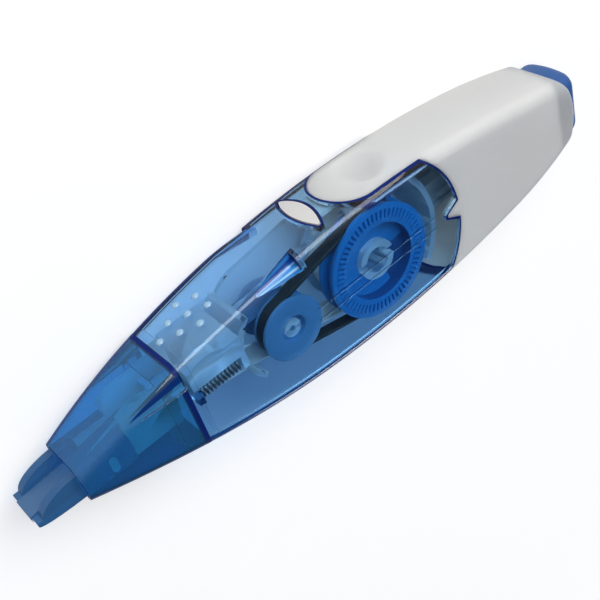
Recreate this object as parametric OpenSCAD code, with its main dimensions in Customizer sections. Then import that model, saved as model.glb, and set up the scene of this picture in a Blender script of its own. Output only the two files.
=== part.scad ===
// Knock-type correction tape with a retracting tip and an exchangeable tape cartridge.
// The tip points to -X, the knock button to +X, the thumb side is +Y,
// and the part lies on its flat side with the shown side up (+Z).

/* [Casing] */
// Height between the long edges of the upper and lower faces, at the belly
edge_height = 28.8; // [28.6:0.1:30]
// Height between the long edges at the nose's mouth
mouth_height = 7.4; // [7.3:0.1:7.8]
// Height between the long edges at the tail's rim
rim_height = 13.6; // [13.2:0.1:14.4]
// Thickness between the flat sides
depth = 17; // [16.4:0.1:18]
// Thickness at the nose's mouth
mouth_depth = 12; // [11.8:0.1:12.6]
// Thickness at the tail's rim
rim_depth = 14; // [13.4:0.1:14.6]
// Rise of the upper and lower faces between their long edges
crown = 1.2; // [0.9:0.1:1.5]
// Distance of the belly from the tip edge
belly_at = 75; // [74:0.5:76]
// Distance from the tip edge to where the sides turn flat
flat_from = 59.5; // [58:0.5:62]
// Distance from the tip edge to where the flat sides end
flat_to = 111.5; // [109:0.5:113]
// Distance of the tail's rim from the supply reel's axis
tail_len = 55; // [52:0.5:58]
// How far the tail's rim bows out between its long edges
rim_bow = 2.1; // [1.8:0.1:2.4]
// Corner radius of the casing's cross-section
edge_r = 2; // [1.7:0.1:2.4]
// Corner radius of the nose's cross-section at its mouth
mouth_edge_r = 3; // [2.4:0.1:3.2]
// Wall of the clear and white shells
wall = 1.2; // [1:0.05:1.25]
// Radius of the arc where the clear shell meets the white one
split_r = 19.8; // [19:0.1:20.4]

/* [Nose] */
// How far the tip edge stands out of the nose
tip_reach = 9.3; // [8.8:0.1:10]
// Length of the nose cone
nose_len = 22.2; // [21:0.2:23]
// Wall of the nose cone
nose_wall = 0.9; // [0.8:0.05:0.95]
// How far the nose cone stands proud of the clear shell
nose_proud = 0.25; // [0.15:0.05:0.4]
// How far the nose dips towards the lower face at its mouth
nose_droop = 0.7; // [0.4:0.1:0.9]
// Length of the spigot that holds the nose cone
spigot_len = 4; // [3:0.5:5]
// Length of the finger groove along each upper edge of the nose cone
nose_groove_len = 16; // [14:0.5:17]
// Half width of the finger groove at its wide end
nose_groove_half = 2.6; // [2.2:0.1:2.8]
// Depth of the finger groove at its wide end
nose_groove_depth = 1; // [0.7:0.1:1.1]

/* [Grip] */
// Diameter of a grip bump
bump_d = 1.5; // [1.2:0.1:1.8]
// Spacing of the rows of bumps
bump_row = 3.25; // [3:0.05:3.4]
// Spacing of the bumps in a row
bump_pitch = 3.8; // [3.4:0.1:4.2]
// Length of the finger scallop on each long edge
scallop_len = 13.5; // [12:0.5:14.5]
// Radius of the scallop at its deep end
scallop_r = 2.8; // [2.2:0.1:2.9]

/* [Thumb rest and latch] */
// Half width of the white tongue on the upper face
tongue_half = 7; // [6.6:0.1:7.1]
// Diameter of the thumb dimple
dimple_d = 10.6; // [9:0.2:11.4]
// Depth of the thumb dimple
dimple_depth = 1; // [0.6:0.1:1.2]
// Length of the oval latch across the casing
oval_len = 12; // [10.6:0.2:12.2]
// Width of the oval latch along the casing
oval_w = 3.4; // [3:0.1:3.8]
// Radius of the latch's hinge barrel
latch_barrel_r = 0.7; // [0.6:0.05:0.75]

/* [Tape and reels] */
// Width of the correction tape
tape_w = 5; // [4.6:0.1:5.2]
// Thickness of a single run of tape
tape_t = 0.2; // [0.15:0.05:0.25]
// Distance of the supply reel's axis from the tip edge
supply_at = 75.5; // [75:0.1:76]
// Distance of the take-up reel's axis from the tip edge
take_up_at = 54.2; // [53.8:0.1:54.6]
// Radius of the supply reel's flanges
flange_r = 11.5; // [11:0.1:11.6]
// Radius of the supply pulley under the belt
pulley_r = 10; // [9.6:0.1:10.3]
// Outer radius of the unused tape on the supply core
supply_roll_r = 9.2; // [7:0.1:9.6]
// Outer radius of the supply core
core_r = 5.6; // [5.2:0.1:6]
// Radius of the supply reel's post
supply_post_r = 3.7; // [3.4:0.1:3.8]
// Radius of the cup in the middle of the supply reel
cup_r = 7.7; // [7.2:0.1:8]
// Count of the ratchet ribs on the supply reel
ratchet_count = 60; // [40:4:72]
// Radius of the take-up reel's face disc
take_up_disc_r = 6.4; // [6.2:0.1:6.8]
// Radius of the take-up pulley under the belt
take_up_pulley_r = 5.3; // [5:0.1:5.4]
// Outer radius of the used tape on the take-up hub
take_up_roll_r = 4.2; // [3.4:0.1:4.6]
// Radius of the take-up reel's post
take_up_post_r = 1.5; // [1.3:0.1:1.6]
// Thickness of the drive belt
belt_t = 0.7; // [0.5:0.05:0.8]

/* [Cartridge and tip] */
// Thickness of the cartridge's base plate
plate_t = 1; // [0.8:0.1:1.1]
// Thickness of the cartridge's upright walls
rib_t = 1.2; // [1:0.1:1.4]
// Width of the applicator tip
tip_w = 9.2; // [8.8:0.1:9.4]
// Height of the tip's cheeks at the nose's mouth
tip_h = 5.3; // [5:0.1:5.4]
// Width of the channel between the tip's cheeks
channel_w = 6; // [5.8:0.1:6.2]
// Radius of the tape guide pins
guide_pin_r = 0.8; // [0.6:0.05:0.9]

/* [Knock] */
// How far the cartridge draws back
travel = 9.5; // [9:0.1:9.8]
// How far the cartridge can be pushed past its locked place
over_travel = 1; // [0.6:0.1:1]
// Length of the button that stays in the white shell when the tip is in
button_guide = 4; // [3:0.2:5]
// How far the button's end stands out of the white shell, with the tip out
button_reach = 3.2; // [2.9:0.1:3.8]
// Length of the return spring, with the tip out
spring_len = 9; // [8:0.2:9.4]
// Wire radius of the return spring
spring_wire_r = 0.2; // [0.15:0.01:0.22]
// Count of the spring's turns
spring_turns = 11; // [8:1:12]
// Wire radius of the lock follower
lock_wire_r = 0.4; // [0.35:0.05:0.45]

/* [Clearances] */
// Radial clearance of shafts and hinge barrels
run_gap = 0.05; // [0.03:0.01:0.08]
// Clearance between moving pieces that don't touch
free_gap = 0.25; // [0.2:0.01:0.3]
// Clearance between pieces that plug together
plug_gap = 0.05; // [0.03:0.01:0.1]

/* [Hidden] */
$fn = 64;

// Places along the casing
length = supply_at + tail_len + button_reach;
tip_x = -length / 2;
end_x = length / 2;
belly_x = tip_x + belly_at;
flat_x0 = tip_x + flat_from;
flat_x1 = tip_x + flat_to;
mouth_x = tip_x + tip_reach;
nose_x = mouth_x + nose_len;
rim_x = end_x - button_reach;
supply_x = tip_x + supply_at;
take_up_x = tip_x + take_up_at;
far_out = 100;

// Casing section
corner_steps = 5;
face_steps = 6;
least_corner_r = 0.6;
crown_x0 = nose_x;
crown_x1 = belly_x;
nose_inner = nose_wall - nose_proud;
spigot_outer = nose_inner + plug_gap;
spigot_wall = 0.7;
spigot_root = 2;

function drop(d, r) = r - sqrt(r * r - d * d);
function ease(x, a, b) = let (t = min(1, max(0, (x - a) / (b - a)))) t * t * (3 - 2 * t);

// Radius of an arc that falls by h over the length d
function fall_r(d, h) = (d * d + h * h) / (2 * h);

nose_arc_r = fall_r(belly_x - mouth_x, (edge_height - mouth_height) / 2);
tail_arc_r = fall_r(rim_x - belly_x, (edge_height - rim_height) / 2);
nose_taper_r = fall_r(flat_x0 - mouth_x, (depth - mouth_depth) / 2);
tail_taper_r = fall_r(rim_x - flat_x1, (depth - rim_depth) / 2);

function half_height(x) = edge_height / 2 - drop(x - belly_x, x < belly_x ? nose_arc_r : tail_arc_r);
function half_depth(x) = depth / 2
    - drop(max(0, flat_x0 - x), nose_taper_r)
    - drop(max(0, x - flat_x1), tail_taper_r);
function crown_at(x) = crown * ease(x, crown_x0, crown_x1);
function nose_edge(x) = mouth_edge_r + (edge_r + nose_proud - mouth_edge_r) * ease(x, mouth_x, nose_x);
function droop_at(x) = -nose_droop * pow(max(0, (nose_x - x) / nose_len), 2);

// One corner of the section: its points run through a quarter turn from angle a
function corner(zc, yc, r, a) = [
    for (k = [0:corner_steps]) let (t = a + 90 * k / corner_steps) [zc + r * cos(t), yc + r * sin(t)]
];

// Points of a face between two corners, without the corners' own points
function face_points(z, y) = [for (k = [1:face_steps - 1]) [z - 2 * z * k / face_steps, y]];

// A section of half height h and half depth d, as [z, y] points with crowned faces
function section(h, d, r, c) = let (
    z = d - r,
    y = h - r,
    flat = concat(
        corner(z, y, r, 0), face_points(z, h), corner(-z, y, r, 90),
        corner(-z, -y, r, 180), face_points(-z, -h), corner(z, -y, r, 270)
    )
) [for (p = flat) [p[0], p[1] + sign(p[1]) * c * (1 - pow(p[0] / d, 2))]];

// The casing's section at x, moved inwards by inset, with corners of radius r
function ring(x, inset, r) = [
    for (p = section(half_height(x) - inset, half_depth(x) - inset, r, crown_at(x)))
        [x, p[1] + droop_at(x), p[0]]
];

// A solid through rings of equally many points
module loft(rings) {
    n = len(rings[0]);
    last = len(rings) - 1;
    points = [for (r = rings) for (p = r) p];
    sides = [
        for (k = [0:last - 1]) for (j = [0:n - 1])
            let (a = k * n + j, b = k * n + (j + 1) % n)
            for (f = [[a, b, a + n], [b, b + n, a + n]]) f
    ];
    caps = [[for (j = [n - 1:-1:0]) j], [for (j = [0:n - 1]) last * n + j]];
    polyhedron(points = points, faces = concat(sides, caps));
}

function stations(x0, x1, count) = [for (k = [0:count]) x0 + (x1 - x0) * k / count];

// The casing from x0 to x1, moved inwards by inset
module casing(x0, x1, inset, count) {
    r = max(edge_r - inset, least_corner_r);
    loft([for (x = stations(x0, x1, count)) ring(x, inset, r)]);
}

module shell(x0, x1, inset, thickness, count) {
    lap = 1;
    difference() {
        casing(x0, x1, inset, count);
        casing(x0 - lap, x1 + lap, inset + thickness, count + 2);
    }
}

// Extrudes a plan drawn in X and Z along Y
module along_y(y0, y1) {
    translate([0, y1, 0]) rotate([90, 0, 0]) linear_extrude(y1 - y0) children();
}

// Extrudes a side view drawn in X and Y along Z
module along_z(z0, z1) {
    translate([0, 0, z0]) linear_extrude(z1 - z0) children();
}

module block(x0, x1, y0, y1, z0, z1) {
    translate([x0, y0, z0]) cube([x1 - x0, y1 - y0, z1 - z0]);
}

module post(x, y, r, z0, z1) {
    translate([x, y, z0]) cylinder(r = r, h = z1 - z0);
}

// Lifts the part, which is drawn about its middle plane, onto its flat side
module lifted() {
    translate([0, 0, depth / 2]) children();
}

// Stack of the reels across the thickness, from the middle plane to the shown wall: the belt takes
// the room between the tape and the reels' faces
tape_z = tape_w / 2;
inner_z = depth / 2 - wall;
guide_rib_h = 0.3;
ratchet_h = 0.15;
face_z = inner_z - guide_rib_h - free_gap - ratchet_h;
face_t = 0.7;
flange_t = 0.55;
flange_z0 = tape_z + free_gap;
groove_z0 = flange_z0 + flange_t;
groove_z1 = face_z - face_t;
belt_side_gap = 0.15;
belt_z0 = groove_z0 + belt_side_gap;
belt_z1 = groove_z1 - belt_side_gap;
ratchet_r = cup_r + 1.1;
ratchet_len = 1.6;
ratchet_w = 0.55;
ratchet_depth = face_t / 2;
cup_floor_z = groove_z0 + 1.1;
hub_r = supply_post_r + 1;
end_play = 0.1;
far_flange_z = -tape_z - end_play;
seat_z = far_flange_z - flange_t - end_play;

// Split between the clear and the white shell
tongue_x = supply_x + 2;
tongue_front_x = tongue_x - tongue_half;
split_end_x = supply_x + split_r;
tooth_len = 3;
tooth_half = 2.8;
tooth_y = -0.6;
tooth_root = 2;
oval_x = tongue_front_x - oval_w / 2 - 2.5;
oval_r = (oval_len * oval_len + oval_w * oval_w) / (4 * oval_w);
oval_end_r = oval_len / 2 - 0.35;

module tongue_plan() {
    translate([tongue_x, 0]) circle(tongue_half);
    translate([tongue_x, -tongue_half]) square([far_out, 2 * tongue_half]);
}

module tooth_side() {
    root_x = supply_x + sqrt(split_r * split_r - tooth_half * tooth_half) + tooth_root;
    polygon([
        [root_x, tooth_y + tooth_half],
        [root_x - tooth_root - tooth_len, tooth_y],
        [root_x, tooth_y - tooth_half]
    ]);
}

// The space that the white shell takes: behind the split, with the tongue and a tooth on each side
module rear_zone() {
    difference() {
        block(supply_x, far_out, -far_out, far_out, -far_out, far_out);
        post(supply_x, 0, split_r, -far_out, far_out);
    }
    along_y(0, far_out) tongue_plan();
    along_z(-far_out, far_out) tooth_side();
}

// An almond of two arcs with blunt ends, its long way along Z
module oval_plan(gap) {
    intersection() {
        translate([oval_x - oval_r + oval_w / 2, 0]) circle(oval_r + gap, $fn = 96);
        translate([oval_x + oval_r - oval_w / 2, 0]) circle(oval_r + gap, $fn = 96);
        translate([oval_x, 0]) circle(oval_end_r + gap);
    }
}

// Finger scallops: cones that deepen along both upper edges and end in a step
scallop_x0 = nose_x + 13.5;
scallop_x1 = scallop_x0 + scallop_len;

module scallops(grow) {
    rise = half_height(scallop_x1) - half_height(scallop_x0);
    spread = half_depth(scallop_x1) - half_depth(scallop_x0);
    reach = norm([scallop_len, rise, spread]);
    start_r = 0.2;
    for (s = [-1, 1])
        translate([scallop_x0, half_height(scallop_x0) + start_r, s * (half_depth(scallop_x0) + start_r)])
            rotate([0, -s * atan(spread / scallop_len), atan(rise / scallop_len)])
                rotate([0, 90, 0])
                    cylinder(r1 = start_r + grow, r2 = scallop_r + grow, h = reach + grow);
}

// Finger grooves: cones that run back along the nose's upper edges and open at its rear rim
module nose_grooves(grow) {
    x0 = nose_x - nose_groove_len;
    start_r = 0.15;
    end_r = fall_r(nose_groove_half, nose_groove_depth);
    start = [x0, half_height(x0) + droop_at(x0) + nose_proud, half_depth(x0) + nose_proud];
    end = [
        nose_x, half_height(nose_x) + nose_proud - nose_groove_half,
        half_depth(nose_x) + nose_proud + end_r - nose_groove_depth
    ];
    run = end - start;
    reach = norm(run);
    lap = 1;
    for (s = [0, 1])
        mirror([0, 0, s])
            translate(start)
                rotate([0, acos(run[2] / reach), atan2(run[1], run[0])])
                    cylinder(
                        r1 = start_r + grow, r2 = end_r + (end_r - start_r) * lap / reach + grow,
                        h = reach + lap
                    );
}

bump_count = [1, 2, 3, 2];
bump_first_x = nose_x + 1.8;
bump_sink = 0.3;

module grip_bumps() {
    for (i = [0:3]) for (j = [0:bump_count[i] - 1]) {
        x = bump_first_x + i * bump_row;
        z = (j - (bump_count[i] - 1) / 2) * bump_pitch;
        y = half_height(x) + crown_at(x) * (1 - pow(z / half_depth(x), 2));
        translate([x, y - bump_sink, z]) sphere(d = bump_d, $fn = 24);
    }
}

// The ledge that the return spring pushes against, on the shown side wall
spring_x0 = nose_x + 2.4;
spring_x1 = spring_x0 + spring_len;
spring_y = 0.5;
rail_t = 0.65;
rail_z0 = tape_z + free_gap;
rail_z1 = rail_z0 + rail_t;
spring_room = half_depth(spring_x0) - wall - rail_z1;
spring_r = spring_room / 2 - free_gap;
spring_z = rail_z1 + spring_room / 2;
ledge_t = 1.2;

module spring_ledge() {
    wall_z = half_depth(spring_x0) - wall / 2;
    block(
        spring_x0 - ledge_t, spring_x0, spring_y - spring_r, spring_y + spring_r,
        rail_z1 + free_gap, wall_z
    );
}

// Two thin ribs on the shown side wall that keep the cartridge level as it slides
guide_rib_w = 0.45;
guide_rib_gap = 2.4;
guide_rib_y = -0.6;

module guide_ribs() {
    for (s = [-1, 1])
        block(
            flat_x0, split_end_x - 2 * tooth_len,
            guide_rib_y + (s * guide_rib_gap - guide_rib_w) / 2,
            guide_rib_y + (s * guide_rib_gap + guide_rib_w) / 2,
            inner_z - guide_rib_h, inner_z + wall / 2
        );
}

module front_shell() {
    back_x = split_end_x + 1;
    lap = 1;
    color([0.45, 0.62, 0.82, 0.35]) lifted() {
        difference() {
            union() {
                difference() {
                    casing(nose_x, back_x, 0, 12);
                    scallops(0);
                    difference() {
                        casing(nose_x - lap, back_x + lap, wall, 13);
                        scallops(wall);
                    }
                }
                difference() {
                    shell(nose_x - spigot_len, nose_x + spigot_root, spigot_outer, spigot_wall, 3);
                    intersection() {
                        nose_grooves(nose_wall + plug_gap);
                        block(nose_x - far_out, nose_x, -far_out, far_out, -far_out, far_out);
                    }
                }
                grip_bumps();
                spring_ledge();
                guide_ribs();
            }
            rear_zone();
            along_y(0, far_out) oval_plan(free_gap);
        }
    }
}

// The nose cone slips over the spigot and butts against the clear shell
module nose_cone() {
    lap = 1;
    color([0.05, 0.22, 0.62, 0.5]) lifted() {
        difference() {
            loft([for (x = stations(mouth_x, nose_x, 6)) ring(x, -nose_proud, nose_edge(x))]);
            nose_grooves(0);
            difference() {
                casing(mouth_x - lap, nose_x + lap, nose_inner, 7);
                nose_grooves(nose_wall);
            }
        }
    }
}

// The white shell's tail, with saddles for the push rod and stops for the button
rod_half = 3;
rod_z0 = -1.4;
rod_z1 = 1.2;
wall_r = flange_r + 3.7;
frame_end_x = supply_x + wall_r + rib_t;
rod_x0 = frame_end_x + plug_gap;
button_x0 = rim_x - travel - button_guide;
saddle_t = 1.5;
saddle_x = [frame_end_x + travel + 2 * free_gap, button_x0 - over_travel - 2 * saddle_t];
saddle_side = 1.5;
lane_end = 1;
lane_swing = 1.2;
follower_len = 5.5;
follower_x = rod_x0 + travel + lane_end + 0.6;
pivot_x = follower_x + follower_len;
pivot_boss_r = 1.3;
arm_z = rod_z1 + lock_wire_r + 2 * free_gap;
pivot_top_z = arm_z + 3.2;
barrel_x = tongue_front_x + 3.2;
barrel_y = flange_r + 1.5;
ear_t = 1.2;
ear_half = 4;
ear_rim = 0.5;

module push_rod_saddle(x) {
    floor_z = -half_depth(x) + wall / 2;
    difference() {
        block(x, x + saddle_t, -rod_half - saddle_side, rod_half + saddle_side, floor_z, rod_z1);
        block(
            x - 1, x + saddle_t + 1, -rod_half - free_gap, rod_half + free_gap,
            rod_z0 - free_gap, rod_z1 + 1
        );
    }
}

module latch_ears() {
    for (s = [-1, 1]) {
        z0 = s > 0 ? ear_half : -ear_half - ear_t;
        reach = latch_barrel_r + ear_rim;
        difference() {
            block(
                barrel_x - reach, barrel_x + reach, barrel_y - reach,
                half_height(barrel_x) + crown, z0, z0 + ear_t
            );
            post(barrel_x, barrel_y, latch_barrel_r + run_gap, z0 - 1, z0 + ear_t + 1);
        }
    }
}

// The thumb dimple, or with grow the space that the wall under it takes
module thumb_dimple(grow) {
    x = tongue_x + 3.5;
    r = (pow(dimple_d / 2, 2) + dimple_depth * dimple_depth) / (2 * dimple_depth);
    translate([x, half_height(x) + crown_at(x) - dimple_depth + r, 0]) sphere(r + grow, $fn = 96);
}

// A wider mouth at the tail's rim takes the button's head
rim_r = fall_r(rim_height / 2, rim_bow);
rim_top_x = rim_x - drop(rim_height / 2 + crown, rim_r);
head_inset = 0.75;
head_lap = rim_x - rim_top_x + 0.4;
bore_inset = head_inset - free_gap;
bore_depth = over_travel + head_lap + free_gap;

// The space in front of the rim, which bows out along both sides
module rim_zone() {
    post(rim_x - rim_r, 0, rim_r, -far_out, far_out);
    block(-far_out, rim_x - rim_r, -far_out, far_out, -far_out, far_out);
}

module rear_shell() {
    lap = 1;
    front_x = tongue_front_x - lap;
    color([0.88, 0.88, 0.86]) lifted() intersection() {
        union() {
            difference() {
                casing(front_x, rim_x, 0, 12);
                thumb_dimple(0);
                difference() {
                    casing(front_x - lap, rim_x + lap, wall, 13);
                    thumb_dimple(wall);
                }
                casing(rim_x - bore_depth, rim_x + lap, bore_inset, 2);
            }
            intersection() {
                casing(front_x, rim_x, wall / 2, 12);
                union() {
                    for (x = saddle_x) push_rod_saddle(x);
                    latch_ears();
                    difference() {
                        post(pivot_x, 0, pivot_boss_r, arm_z + lock_wire_r + free_gap, depth);
                        post(pivot_x, 0, lock_wire_r + run_gap, 0, pivot_top_z + free_gap);
                    }
                }
            }
        }
        rear_zone();
        rim_zone();
    }
}

// The latch: an oval button on an arm that is hinged under the tongue
latch_t = 0.9;
latch_half = 3;
latch_proud = 0.05;

module release_latch() {
    top_y = barrel_y + latch_barrel_r;
    color([0.9, 0.9, 0.88]) lifted() {
        intersection() {
            along_y(top_y - latch_t, far_out) oval_plan(0);
            casing(oval_x - oval_w, oval_x + oval_w, -latch_proud, 3);
        }
        block(oval_x - oval_w / 3, barrel_x, top_y - latch_t, top_y, -latch_half, latch_half);
        post(barrel_x, barrel_y, latch_barrel_r, -ear_half - ear_t, ear_half + ear_t);
    }
}

// The knock button: the casing's own section at the rim, drawn straight and domed at its end
button_inset = wall + free_gap;
dome_x = rim_x + 0.2;
dome_steps = 6;
dome_inset = 3.6;
button_wall = 1.2;
button_edge_r = edge_r + 0.6;
flange_inset = button_inset - 0.4;
button_flange_t = 1;
socket_t = 1;
socket_len = 2;

function button_ring(x, inset) = [
    for (p = section(
        half_height(rim_x) - inset, half_depth(rim_x) - inset,
        max(button_edge_r - inset / 3, least_corner_r), crown * (1 - inset / 12)
    )) [x, p[1], p[0]]
];

module knock_button() {
    dome_len = end_x - dome_x;
    dome = [
        for (k = [0:dome_steps]) let (t = 90 * k / dome_steps)
            button_ring(dome_x + dome_len * sin(t), head_inset + dome_inset * (1 - cos(t)))
    ];
    body = [
        button_ring(button_x0, flange_inset), button_ring(button_x0 + button_flange_t, flange_inset),
        button_ring(button_x0 + button_flange_t, button_inset),
        button_ring(rim_x - head_lap, button_inset), button_ring(rim_x - head_lap, head_inset)
    ];
    color([0.1, 0.35, 0.75]) lifted() {
        difference() {
            loft(concat(body, dome));
            loft([
                button_ring(button_x0 - 1, button_inset + button_wall),
                button_ring(dome_x - button_wall, button_inset + button_wall)
            ]);
        }
        difference() {
            block(
                rod_x1 - socket_len, dome_x, -rod_half - socket_t, rod_half + socket_t,
                rod_z0 - socket_t, rod_z1 + socket_t
            );
            block(
                rod_x1 - socket_len - 1, rod_x1, -rod_half - plug_gap, rod_half + plug_gap,
                rod_z0 - plug_gap, rod_z1 + plug_gap
            );
        }
    }
}

// The push rod carries the heart cam that locks the tip out
rod_x1 = button_x0 + 5;
lane_half = lock_wire_r + free_gap;
track_depth = 0.9;
track_half = rod_half - 0.8;

// The heart cam's track: a pocket round an island with a notch that faces the button
module cam_track() {
    front_u = follower_x - travel;
    back_u = follower_x + over_travel;
    notch = 0.7;
    cheek_u = follower_x - 0.9;
    nose_u = front_u + 1.6;
    low = -track_half + lane_half;
    difference() {
        translate([front_u - lane_end, -track_half])
            square([back_u - front_u + 2 * lane_end, 2 * track_half]);
        polygon([
            [nose_u, lane_swing * (nose_u - front_u) / travel - lane_half],
            [cheek_u, lane_swing * (cheek_u - front_u) / travel - lane_half],
            [cheek_u - notch, 0], [cheek_u, low], [nose_u + 2 * notch, low]
        ]);
    }
}

module push_rod() {
    color([0.86, 0.87, 0.88]) lifted() {
        difference() {
            block(rod_x0, rod_x1, -rod_half, rod_half, rod_z0, rod_z1);
            along_z(rod_z1 - track_depth, rod_z1 + 1) cam_track();
        }
    }
}

// The lock follower: a wire on a pivot, whose pin runs in the cam's lane
module lock_follower() {
    pin_z = rod_z1 - track_depth + free_gap;
    swing = asin(lane_swing / follower_len);
    color([0.72, 0.73, 0.75]) lifted() {
        post(pivot_x, 0, lock_wire_r, arm_z, pivot_top_z);
        translate([pivot_x, 0, 0]) rotate([0, 0, -swing]) {
            translate([0, 0, arm_z]) rotate([0, -90, 0]) cylinder(r = lock_wire_r, h = follower_len);
            post(-follower_len, 0, lock_wire_r, pin_z, arm_z);
            translate([-follower_len, 0, arm_z]) sphere(lock_wire_r);
            translate([0, 0, arm_z]) sphere(lock_wire_r);
        }
    }
}

// The return spring, a wire swept along a helix between its ledge and the cartridge
module return_spring() {
    steps = 10;
    sides = 6;
    coil_r = spring_r - spring_wire_r;
    x0 = spring_x0 + spring_wire_r + plug_gap;
    x1 = spring_x1 - spring_wire_r - plug_gap;
    count = spring_turns * steps;
    rings = [
        for (k = [0:count]) let (a = 360 * k / steps, x = x0 + (x1 - x0) * k / count) [
            for (j = [0:sides - 1]) let (b = 360 * j / sides, r = coil_r + spring_wire_r * cos(b)) [
                x + spring_wire_r * sin(b), spring_y + r * cos(a), spring_z + r * sin(a)
            ]
        ]
    ];
    color([0.25, 0.26, 0.28]) lifted() loft(rings);
}

// The cartridge frame: base plate, reel posts, walls and the arms that hold the tip
plate_gap = 1.1;
plate_z0 = -inner_z + plate_gap;
plate_z1 = plate_z0 + plate_t;
wall_top_z = belt_z0 + 1;
spring_block_z = spring_z + spring_r - 0.4;
front_wall_r = 9.4;
rear_wall_a = 38;
front_wall_a = 46;
shoulder_r = 7;
post_lip = 0.3;
post_slit = 2.4;
plate_supply_r = flange_r + 0.2;
plate_take_up_r = 8.6;
arm_x0 = mouth_x + 4;
arm_y0 = -2.6;
arm_y1 = 1.4;
housing_x0 = arm_x0 + 6.5;
housing_y0 = -3.9;
housing_y1 = 6.2;
arm_root_x = spring_x0 - 1.2;
plate_x0 = nose_x + spigot_root + over_travel + 0.5;
block_y0 = spring_y + spring_r + free_gap;
block_y1 = 7.2;
block_x1 = spring_x1 + rib_t;
snap_x = arm_x0 + 2.4;
snap_y = -1.3;
snap_half = 0.75;
snap_len = 3.6;
snap_out = 0.9;

function polar(x, r, a) = [x + r * cos(a), r * sin(a)];

// An arc band about (x, 0) between two angles
module arc_band(x, r, t, a0, a1) {
    steps = 24;
    polygon(concat(
        [for (k = [0:steps]) polar(x, r, a0 + (a1 - a0) * k / steps)],
        [for (k = [steps:-1:0]) polar(x, r + t, a0 + (a1 - a0) * k / steps)]
    ));
}

module plate_side() {
    translate([supply_x, 0]) circle(plate_supply_r);
    translate([take_up_x, 0]) circle(plate_take_up_r);
    polygon([
        [take_up_x, plate_take_up_r], [supply_x, plate_supply_r],
        [supply_x, -plate_supply_r], [take_up_x, -plate_take_up_r]
    ]);
    arc_band(supply_x, cup_r, wall_r + rib_t - cup_r, -rear_wall_a, rear_wall_a);
    translate([plate_x0, -housing_y1]) square([take_up_x - plate_x0, 2 * housing_y1]);
}

// Room for the arms under the nose's upper face, at x
function arm_top(x) = min(
    housing_y1,
    half_height(x - over_travel) + droop_at(x - over_travel) - nose_inner - 2 * free_gap
);

// Side view of the arms: tongues that plug into the tip head, and the housing behind it
module arm_side() {
    steps = 8;
    polygon(concat(
        [[arm_x0, arm_y0], [arm_x0, arm_y1], [housing_x0, arm_y1]],
        [for (k = [0:steps]) let (x = housing_x0 + (arm_root_x - housing_x0) * k / steps) [x, arm_top(x)]],
        [
            [block_x1, housing_y1], [block_x1, block_y0], [arm_root_x - 2, block_y0],
            [arm_root_x - 3, housing_y0], [housing_x0, housing_y0], [housing_x0, arm_y0]
        ]
    ));
}

// The block over the return spring, with a rounded shoulder
module spring_block_side() {
    translate([arm_root_x, block_y0]) square([block_x1 - arm_root_x, housing_y1 - block_y0]);
    intersection() {
        translate([arm_root_x, block_y0]) square([block_x1 - arm_root_x, block_y1 - block_y0]);
        translate([block_x1 - shoulder_r, block_y1 - shoulder_r]) circle(shoulder_r);
    }
}

// A split post with a lip, bored down to its root
module snap_post(x, r, z1, lip_t, bore, slit) {
    difference() {
        union() {
            post(x, 0, r, seat_z, z1);
            post(x, 0, r + post_lip, z1 - lip_t, z1);
        }
        post(x, 0, bore, seat_z + post_lip, z1 + 1);
        block(x - r - 1, x + r + 1, -slit / 2, slit / 2, z1 - post_slit, z1 + 1);
    }
}

supply_lip_t = 1.3;
supply_post_bore = supply_post_r - 1.1;
supply_post_slit = 1.6;
take_up_post_bore = take_up_post_r - 0.9;
take_up_post_slit = 0.5;
take_up_lip_t = 0.6;
supply_post_top = cup_floor_z + end_play + supply_lip_t;
take_up_cup_z = groove_z1 - 0.4;
take_up_post_top = take_up_cup_z + end_play + take_up_lip_t;

module cartridge_frame() {
    color([0.62, 0.76, 0.9, 0.6]) lifted() {
        along_z(plate_z0, plate_z1) plate_side();
        post(supply_x, 0, hub_r, plate_z1, seat_z);
        post(take_up_x, 0, take_up_post_r + 1, plate_z1, seat_z);
        snap_post(supply_x, supply_post_r, supply_post_top, supply_lip_t, supply_post_bore, supply_post_slit);
        snap_post(
            take_up_x, take_up_post_r, take_up_post_top, take_up_lip_t, take_up_post_bore, take_up_post_slit
        );
        along_z(plate_z1, wall_top_z) arc_band(supply_x, wall_r, rib_t, -rear_wall_a, rear_wall_a);
        difference() {
            along_z(plate_z1, wall_top_z)
                arc_band(take_up_x, front_wall_r, rib_t, 180 - front_wall_a, 180 + front_wall_a);
            along_z(-tape_z - free_gap, tape_z + free_gap) tape_slots();
        }
        along_z(rail_z0, rail_z1) arm_side();
        along_z(-rail_z1, -rail_z0) arm_side();
        along_z(rail_z1, spring_block_z) spring_block_side();
        block(block_x1 - rib_t, block_x1, spring_y - spring_r, block_y0, rail_z1, spring_block_z);
        block(arm_root_x, block_x1, housing_y1 - rib_t, housing_y1, plate_z1, rail_z1);
        for (s = [-1, 1]) {
            z0 = s > 0 ? rail_z1 : -rail_z1 - snap_out;
            along_z(z0, z0 + snap_out) snap_side(0);
        }
    }
}

// A round-ended boss on each arm that clicks into the tip head
module snap_side(gap) {
    reach = snap_len / 2 - snap_half;
    for (s = [-1, 1]) translate([snap_x, snap_y + s * reach]) circle(snap_half + gap);
    translate([snap_x - snap_half - gap, snap_y - reach]) square([2 * (snap_half + gap), 2 * reach]);
}

// The ways that the tape takes through the wall in front of the take-up reel
slot_half = 1.2;

module tape_slots() {
    reach = 2 * front_wall_r;
    for (y = [feed_wall_y, return_wall_y])
        translate([take_up_x - reach, y - slot_half]) square([reach, 2 * slot_half]);
}

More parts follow.
